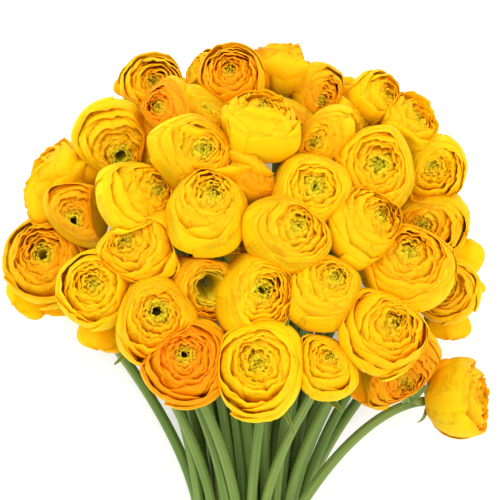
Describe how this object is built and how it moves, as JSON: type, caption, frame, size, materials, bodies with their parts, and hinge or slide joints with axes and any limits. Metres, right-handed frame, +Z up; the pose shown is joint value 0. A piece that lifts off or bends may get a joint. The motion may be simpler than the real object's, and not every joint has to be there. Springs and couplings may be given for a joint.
{
  "type": "tied bunch of cut ranunculus",
  "caption": "Tied bunch of yellow ranunculus lying on its side, a dome of full round blooms on green stems bound with twine.",
  "frame": {"origin": "on the table, under the middle of the whole bunch as it lies", "axes": "+Z up from the table, +Y along the bunch from the cut stem ends to the head of blooms, +X across the head"},
  "size_m": [0.3534, 0.4926, 0.191],
  "materials": {
    "petals": "satin",
    "stems": "satin",
    "twine": "matte"
  },
  "bodies": {
    "root": {"bloom_01": "petals", "bloom_02": "petals", "bloom_03": "petals", "bloom_04": "petals", "bloom_05": "petals", "bloom_06": "petals", "bloom_07": "petals", "bloom_08": "petals", "bloom_09": "petals", "bloom_10": "petals", "bloom_11": "petals", "bloom_12": "petals", "bloom_13": "petals", "bloom_14": "petals", "bloom_15": "petals", "bloom_16": "petals", "bloom_17": "petals", "bloom_18": "petals", "bloom_19": "petals", "bloom_20": "petals", "bloom_21": "petals", "bloom_22": "petals", "bloom_23": "petals", "bloom_24": "petals", "bloom_25": "petals", "bloom_26": "petals", "bloom_27": "petals", "bloom_28": "petals", "bloom_29": "petals", "bloom_30": "petals", "bloom_31": "petals", "bloom_32": "petals", "bloom_33": "petals", "bloom_34": "petals", "bloom_35": "petals", "bloom_36": "petals", "bloom_37": "petals", "bloom_38": "petals", "bloom_39": "petals", "bloom_40": "petals", "bloom_41": "petals", "bloom_42": "petals", "bloom_43": "petals", "bloom_44": "petals", "bloom_45": "petals", "bloom_46": "petals", "bloom_47": "petals", "bloom_48": "petals", "bloom_49": "petals", "bloom_50": "petals", "stem_layer_1": "stems", "stem_layer_2": "stems", "stem_layer_3": "stems", "stem_layer_4": "stems", "stem_layer_5": "stems", "stem_layer_6": "stems", "stray_stem": "stems", "twine_tie": "twine"}
  },
  "joints": []
}
